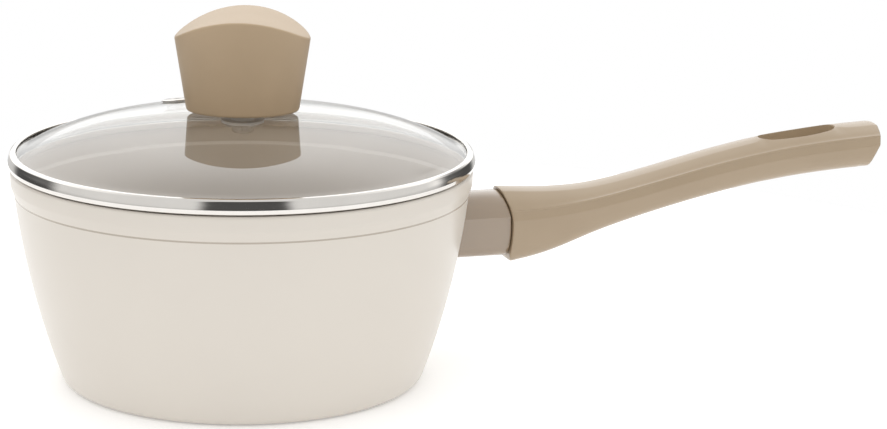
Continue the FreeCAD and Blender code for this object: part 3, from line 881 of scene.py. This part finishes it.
def grip_cage():
    points, rings = [], []

    def add_ring(half_points, x_of):
        first = len(points)
        for y, z in both_sides(half_points):
            points.append((x_of(y, z), y, z))
        rings.append(list(range(first, len(points))))

    front = grip_half(110.0)
    add_ring(shrunk(front, 3.0), lambda y, z: face_x(z))
    add_ring(shrunk(front, 0.7), lambda y, z: face_x(z))
    add_ring(shrunk(front, 0.1), lambda y, z: face_x(z) + 0.1)
    add_ring(front, lambda y, z: face_x(z) + 0.7)
    for x, share in BLEND_STOPS:
        add_ring(grip_half(x), lambda y, z: x + (joint_x(z) - joint_x(JOINT_Z)) * share)
    for x in GRIP_STOPS:
        add_ring(grip_half(x), lambda y, z: x)

    first_slot = len(rings)
    for stop in SLOT_STOPS:
        x = SLOT_MIDDLE + stop
        add_ring(grip_half(x, slot=slot_half(stop)),
                 lambda y, z: x - SLOT_LEAN * (z - SLOT_LEVEL))
    last_slot = len(rings) - 1
    for ring, sign in ((rings[first_slot], -1), (rings[last_slot], 1)):
        for place in (TOP, LOW):
            x, y, z = points[ring[place]]
            points[ring[place]] = (x + sign * (SLOT_HALF_LENGTH - SLOT_STOPS[-1]), y, z)

    for x in BEYOND_STOPS:
        add_ring(grip_half(x), lambda y, z: x)
    tail = grip_half(277.0)
    for section, back in ((grip_half(273.0), 5.5), (tail, 2.6), (tail, 0.8),
                          (shrunk(tail, 0.12), 0.12), (shrunk(tail, 0.8), 0.0),
                          (shrunk(tail, 3.5), 0.0)):
        add_ring(section, lambda y, z: tail_x(y, z) - back)
    return points, rings, first_slot, last_slot


# %% [markdown]
# The rings are joined with four-sided faces, because those smooth evenly. Along the slot the
# middle strip is skipped on top and below, and the wall between the two openings has a band
# close to each of them, which keeps both of the slot's edges crisp.

# %% Faces of the cage
def grip_faces(points, rings, first_slot, last_slot):
    count = len(rings[0])
    open_cells = {0, count - 1, LOW_EDGE, LOW}
    faces = []
    for i, (a, b) in enumerate(zip(rings, rings[1:])):
        in_slot = first_slot <= i < last_slot
        for k in range(count):
            if in_slot and k in open_cells:
                continue
            n = (k + 1) % count
            faces.append((a[k], a[n], b[n], b[k]))
    for ring in (rings[0], rings[-1]):
        faces.append((ring[0], ring[1], ring[count - 1]))
        for k in range(1, LOW - 1):
            faces.append((ring[k], ring[k + 1], ring[count - k - 1], ring[count - k]))
        faces.append((ring[LOW - 1], ring[LOW], ring[LOW + 1]))
    return faces + slot_wall(points, rings[first_slot:last_slot + 1], count)


def slot_wall(points, rings, count):
    """Quads that join the slot's opening on top to the one below, in bands."""
    def loop(middle, side):
        right = [ring[side] for ring in rings]
        left = [ring[(count - side) % count] for ring in rings]
        return [rings[0][middle], *right, rings[-1][middle], *reversed(left)]

    upper, lower = loop(TOP, TOP_EDGE), loop(LOW, LOW_EDGE)
    bands = [upper]
    for share in (0.035, 0.5, 0.965):
        band = []
        for a, b in zip(upper, lower):
            band.append(len(points))
            points.append(tuple(Vector(points[a]).lerp(Vector(points[b]), share)))
        bands.append(band)
    bands.append(lower)
    faces = []
    for a, b in zip(bands, bands[1:]):
        for k in range(len(a)):
            n = (k + 1) % len(a)
            faces.append((a[k], a[n], b[n], b[k]))
    return faces


# %% [markdown]
# The smoothed cage is turned into a plain mesh, and the hole for the fixing screw is then
# drilled up into its underside, because a round hole is easier to drill than to cage.

# %% Smooth and drill the handle
FIXING_X = 127.0
COUNTERBORE_RADIUS, COUNTERBORE_TOP = 5.0, 51.0
DRILL_START = 30.0            # anywhere below the handle


def drilled(piece, drill):
    """Cut a drill's shape out of a piece, apply all its modifiers and drop the drill."""
    cut = piece.modifiers.new("hole", "BOOLEAN")
    cut.operation = "DIFFERENCE"
    cut.solver = "EXACT"
    cut.object = drill
    bpy.context.view_layer.update()
    seen = piece.evaluated_get(bpy.context.evaluated_depsgraph_get())
    mesh = bpy.data.meshes.new_from_object(seen)
    piece.modifiers.clear()
    piece.data = mesh
    mesh.set_sharp_from_angle(angle=math.radians(38.0))
    bpy.data.objects.remove(drill)
    print(piece.name, "after drilling, faces", len(mesh.polygons))


cage_points, cage_rings, slot_from, slot_to = grip_cage()
cage_faces = grip_faces(cage_points, cage_rings, slot_from, slot_to)
grip = make_piece("handle_moulding", cage_points, cage_faces, [PLASTIC], sharp=180.0)
smoothing = grip.modifiers.new("smoothing", "SUBSURF")
smoothing.levels = 3
counterbore = lathe("counterbore", [
    (0, DRILL_START), (COUNTERBORE_RADIUS, DRILL_START),
    (COUNTERBORE_RADIUS, COUNTERBORE_TOP), (0, COUNTERBORE_TOP)], [PLASTIC], segments=64)
counterbore.data.transform(Matrix.Translation((FIXING_X * MM, 0, 0)))
drilled(grip, counterbore)
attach(grip, "pan")
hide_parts("handle_grip")

# %% [markdown]
# ## The lid's glass
# A shallow crown that turns down more sharply near its rim, ground flat underneath where the
# steel band holds it. Both faces are arcs about the same centres, so the glass is evenly thick.

# %% Glass outline
APEX = 109.2
CROWN = 325.0
CROWN_EDGE = 60.0
SHOULDER = 105.0
THICKNESS = 3.8
GLASS_EDGE = 92.6
GLASS_HOLE = 5.0
ARCS_END = 88.0               # the radius where the arcs give way to the ground rim
RIM_TOP, RIM_LAND, LAND_IN = 93.0, 88.75, 90.0
ARC_STEPS = 48
SLOPE = math.asin(CROWN_EDGE / CROWN)
SHOULDER_R = CROWN_EDGE - SHOULDER * math.sin(SLOPE)
SHOULDER_Z = APEX - CROWN + (CROWN - SHOULDER) * math.cos(SLOPE)


def glass_height(r, depth=0.0):
    """Height of the glass at a radius, at a depth below its top face."""
    if r <= CROWN_EDGE - depth * math.sin(SLOPE):
        return APEX - CROWN + math.sqrt((CROWN - depth) ** 2 - r * r)
    return SHOULDER_Z + math.sqrt((SHOULDER - depth) ** 2 - (r - SHOULDER_R) ** 2)


def glass_outline():
    start = GLASS_HOLE + 0.5
    reach = [start + (ARCS_END - GLASS_HOLE - 0.5) * k / ARC_STEPS for k in range(ARC_STEPS + 1)]
    top = [(r, glass_height(r), 0) for r in reach]
    under = [(r, glass_height(r, THICKNESS), 0) for r in reversed(reach)]
    hole_top, hole_low = glass_height(GLASS_HOLE), glass_height(GLASS_HOLE, THICKNESS)
    return rounded([(GLASS_HOLE, hole_low, 0.3), (GLASS_HOLE, hole_top, 0.3), *top,
                    (GLASS_EDGE, RIM_TOP, 0.7), (GLASS_EDGE, RIM_LAND, 0.7),
                    (LAND_IN, RIM_LAND, 0.5), *under])


print("glass crown ends at mm", round(glass_height(CROWN_EDGE), 2))

# %% [markdown]
# The vent's hole stands square to the curved glass and not upright. A piece made about the Z
# axis is leaned over, moved out and swung round, and the drill and the eyelet share that place.
# The faces in the lower half of the glass get the finish without a coat.

# %% Turn the glass and pierce it for the vent
VENT_DISTANCE = 50.0
VENT_AZIMUTH = 110.0
VENT_LEAN = math.asin(VENT_DISTANCE / CROWN)
VENT_HOLE, DRILL_REACH = 4.4, 12


def at_vent(piece):
    """Stand a piece made about the Z axis square to the glass where the vent is."""
    place = (Matrix.Rotation(math.radians(VENT_AZIMUTH), 4, "Z")
             @ Matrix.Translation((VENT_DISTANCE * MM, 0, glass_height(VENT_DISTANCE) * MM))
             @ Matrix.Rotation(VENT_LEAN, 4, "Y"))
    piece.data.transform(place)
    return piece


def under_glass(x, y, z):
    return 1 if z < glass_height(math.hypot(x, y)) - THICKNESS / 2 else 0


glass = lathe("lid_dome", glass_outline(), [GLASS, GLASS_UNDER], under_glass)
drill = at_vent(lathe("vent_drill", [
    (0, -DRILL_REACH), (VENT_HOLE, -DRILL_REACH),
    (VENT_HOLE, DRILL_REACH), (0, DRILL_REACH)], [GLASS], segments=64))
drilled(glass, drill)
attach(glass, "lid")
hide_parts("glass_dome")

# %% [markdown]
# ## The steel band
# A strip of steel is rolled round the glass. Its face bulges low down and bows in towards the
# top, and under the bulge it turns in again. A thin lip lies on the glass, and a skirt hangs
# inside the pan and centres the lid. A bent strip could be a curve with a bevel, but the lathe
# gives each edge its own radius, and on polished steel the edges are most of what is seen.

# %% Band
band_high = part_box("rim_band")[1]
BAND_OUT = band_high.x / MM
BAND_TOP = band_high.z / MM
BULGE_Z = 89.1
LEAN_RADIUS = 10.0            # the face bows in above the bulge on this radius
FACE_STOPS = (92.6, 92.2, 91.8, 91.4, 91.0, 90.6, 90.2)      # heights, downwards
LIP_EDGE = 90.6               # where the lip ends on the glass
BAND_SHOULDER = (93.1, 93.5, 0.5)     # radius, height, rounding
TURNED_UNDER = ((92.9, 88.3, 0.3), (92.4, 88.05, 0.3))
SKIRT_OUT, SKIRT_IN, SKIRT_FOOT, SKIRT_HEAD = 89.9, 89.4, 85.5, 88.05
CHANNEL = ((93.0, 88.55, 0.4), (92.88, 92.8, 0.3), (92.3, 93.28, 0.2))    # round the glass


def band_outline():
    face = [(BAND_OUT - (z - BULGE_Z) ** 2 / (2 * LEAN_RADIUS), z, 0)
            for z in FACE_STOPS]
    return rounded([
        (LIP_EDGE, BAND_TOP - 0.5, 0.18), (LIP_EDGE, BAND_TOP, 0.22),
        (92.2, BAND_TOP - 0.12, 0.5), BAND_SHOULDER, *face, (BAND_OUT - 0.4, 88.6, 0.3),
        *TURNED_UNDER, (SKIRT_OUT, SKIRT_HEAD, 0.5), (SKIRT_OUT, SKIRT_FOOT, 0.2),
        (SKIRT_IN, SKIRT_FOOT, 0.2), (SKIRT_IN, 88.5, 0.3), *CHANNEL])


band = lathe("lid_band", band_outline(), [POLISHED], segments=256)
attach(band, "lid")
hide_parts("rim_band")

# %% [markdown]
# ## The steam vent
# A small rolled eyelet lets steam out. It is turned about its own axis and put where the hole
# is, behind the knob. A tube with two discs would look the same from afar, but one outline
# keeps the rolled edges, which catch the light.

# %% Vent
VENT_PLAY = 0.12              # between the glass and the eyelet's lower roll


def vent_outline():
    """Corners as radius, height over the glass and rounding."""
    below = -THICKNESS - VENT_PLAY
    return rounded([
        (2.4, below - 0.5, 0.2), (2.4, 1.2, 0.5), (5.5, 1.1, 0.8), (6.5, 0.7, 0.2),
        (6.5, 0.45, 0.1), (3.5, 0.45, 0), (3.5, below, 0), (5.5, below, 0.1),
        (5.2, below - 0.5, 0.2)])


vent = at_vent(lathe("steam_vent", vent_outline(), [POLISHED], segments=96))
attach(vent, "lid")
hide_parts("vent_eyelet")

# %% [markdown]
# ## The knob
# The knob is a flared oval block with an arched top. Its wall is easy: an oval that grows with
# height. The top edge is where that wall meets the arch, so its height is found by repeated
# guessing, which settles in a few rounds. A small curve then rounds the edge over.

# %% Knob
KNOB_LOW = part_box("knob_body")[0].z / MM
KNOB_CROWN = 148.9
KNOB_ARCH = 45.3
KNOB_WIDTH, KNOB_DEPTH = 22.65, 18.1
WIDTH_FLARE, DEPTH_FLARE = 0.155, 0.135
KNOB_TURN = math.radians(-17.0)
TOP_ROUND, BOTTOM_ROUND = 0.9, 1.3
INSERT_RADIUS, INSERT_DEPTH = 3.6, 13
SETTLING_ROUNDS = 12


def knob_spot(turn, z, share=1.0):
    """A point of the knob's wall at a height, or nearer the axis by a share."""
    rise = z - KNOB_LOW
    return Vector((share * (KNOB_WIDTH + WIDTH_FLARE * rise) * math.cos(turn),
                   share * (KNOB_DEPTH + DEPTH_FLARE * rise) * math.sin(turn), z))


def arch_height(x):
    return KNOB_CROWN - KNOB_ARCH + math.sqrt(KNOB_ARCH ** 2 - x * x)


def knob_profile(turn):
    """Points from the middle of the underside, out, up the wall and over to the crown."""
    z = KNOB_CROWN
    for _ in range(SETTLING_ROUNDS):
        z = arch_height(knob_spot(turn, z).x)
    edge = knob_spot(turn, z)
    wall = (knob_spot(turn, z - TOP_ROUND) - edge).normalized() * TOP_ROUND
    inward = Vector((edge.x * 0.96, edge.y * 0.96, arch_height(edge.x * 0.96))) - edge
    inward = inward.normalized() * TOP_ROUND
    corner = knob_spot(turn, KNOB_LOW)
    across = Vector((-corner.x, -corner.y, 0)).normalized() * BOTTOM_ROUND
    upward = (knob_spot(turn, KNOB_LOW + 5) - corner).normalized() * BOTTOM_ROUND

    def curve(a, middle, b, steps=5):
        spots = []
        for k in range(steps + 1):
            t = k / steps
            spots.append(a * (1 - t) ** 2 + middle * 2 * t * (1 - t) + b * t * t)
        return spots

    hole = Vector((INSERT_RADIUS * math.cos(turn), INSERT_RADIUS * math.sin(turn), KNOB_LOW))
    profile = [hole + Vector((0, 0, INSERT_DEPTH)), hole, hole.lerp(corner, 0.5)]
    profile += curve(corner + across, corner, corner + upward)
    profile += [knob_spot(turn, KNOB_LOW + (z - KNOB_LOW) * t) for t in (0.2, 0.4, 0.6, 0.8)]
    profile += curve(edge + wall, edge, edge + inward)
    for share in (0.9, 0.78, 0.64, 0.5, 0.36, 0.22, 0.1):
        x, y = edge.x * share, edge.y * share
        profile.append(Vector((x, y, arch_height(x))))
    return profile


def build_knob(segments=160):
    profiles = [knob_profile(2 * math.pi * (k + 0.5) / segments) for k in range(segments)]
    length = len(profiles[0])
    spin = Matrix.Rotation(KNOB_TURN, 4, "Z")
    points = [tuple(spin @ spot) for profile in profiles for spot in profile]
    crown, pit = len(points), len(points) + 1
    points += [(0, 0, KNOB_CROWN), (0, 0, KNOB_LOW + INSERT_DEPTH)]
    faces = []
    for k in range(segments):
        a, b = k * length, ((k + 1) % segments) * length
        faces += [(a + i, b + i, b + i + 1, a + i + 1) for i in range(length - 1)]
        faces.append((a + length - 1, b + length - 1, crown))
        faces.append((b, a, pit))
    return make_piece("lid_knob", points, faces, [KNOB_PLASTIC_PAINTED_LIGHT])


knob = build_knob()
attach(knob, "lid")
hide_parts("knob_body")

# %% [markdown]
# ## Small pieces from the CAD model
# The disc in the base, the bracket, the screws, the washers and the gaskets have the right
# shape already, so they stay as they are and only get a finish.

# %% Finishes for the CAD pieces
CAD_FINISHES = {
    "induction_plate": FACED, "handle_bracket": CAST, "handle_screw": BRIGHT,
    "spring_washer": BRIGHT, "vent_gasket": CLEAR_SILICONE, "knob_insert": BRASS,
    "knob_gasket_upper": GREY_SILICONE, "knob_gasket_lower": CLEAR_SILICONE,
    "knob_washer": BRIGHT, "knob_screw": BRIGHT,
}
for node, finish in CAD_FINISHES.items():
    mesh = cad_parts[node].data
    mesh.materials.clear()
    mesh.materials.append(finish)
print("finished CAD pieces:", len(CAD_FINISHES))

# %% [markdown]
# ## Colour handling
# The plain "Standard" view keeps the whites white.

# %% Finish
bpy.context.scene.view_settings.view_transform = "Standard"
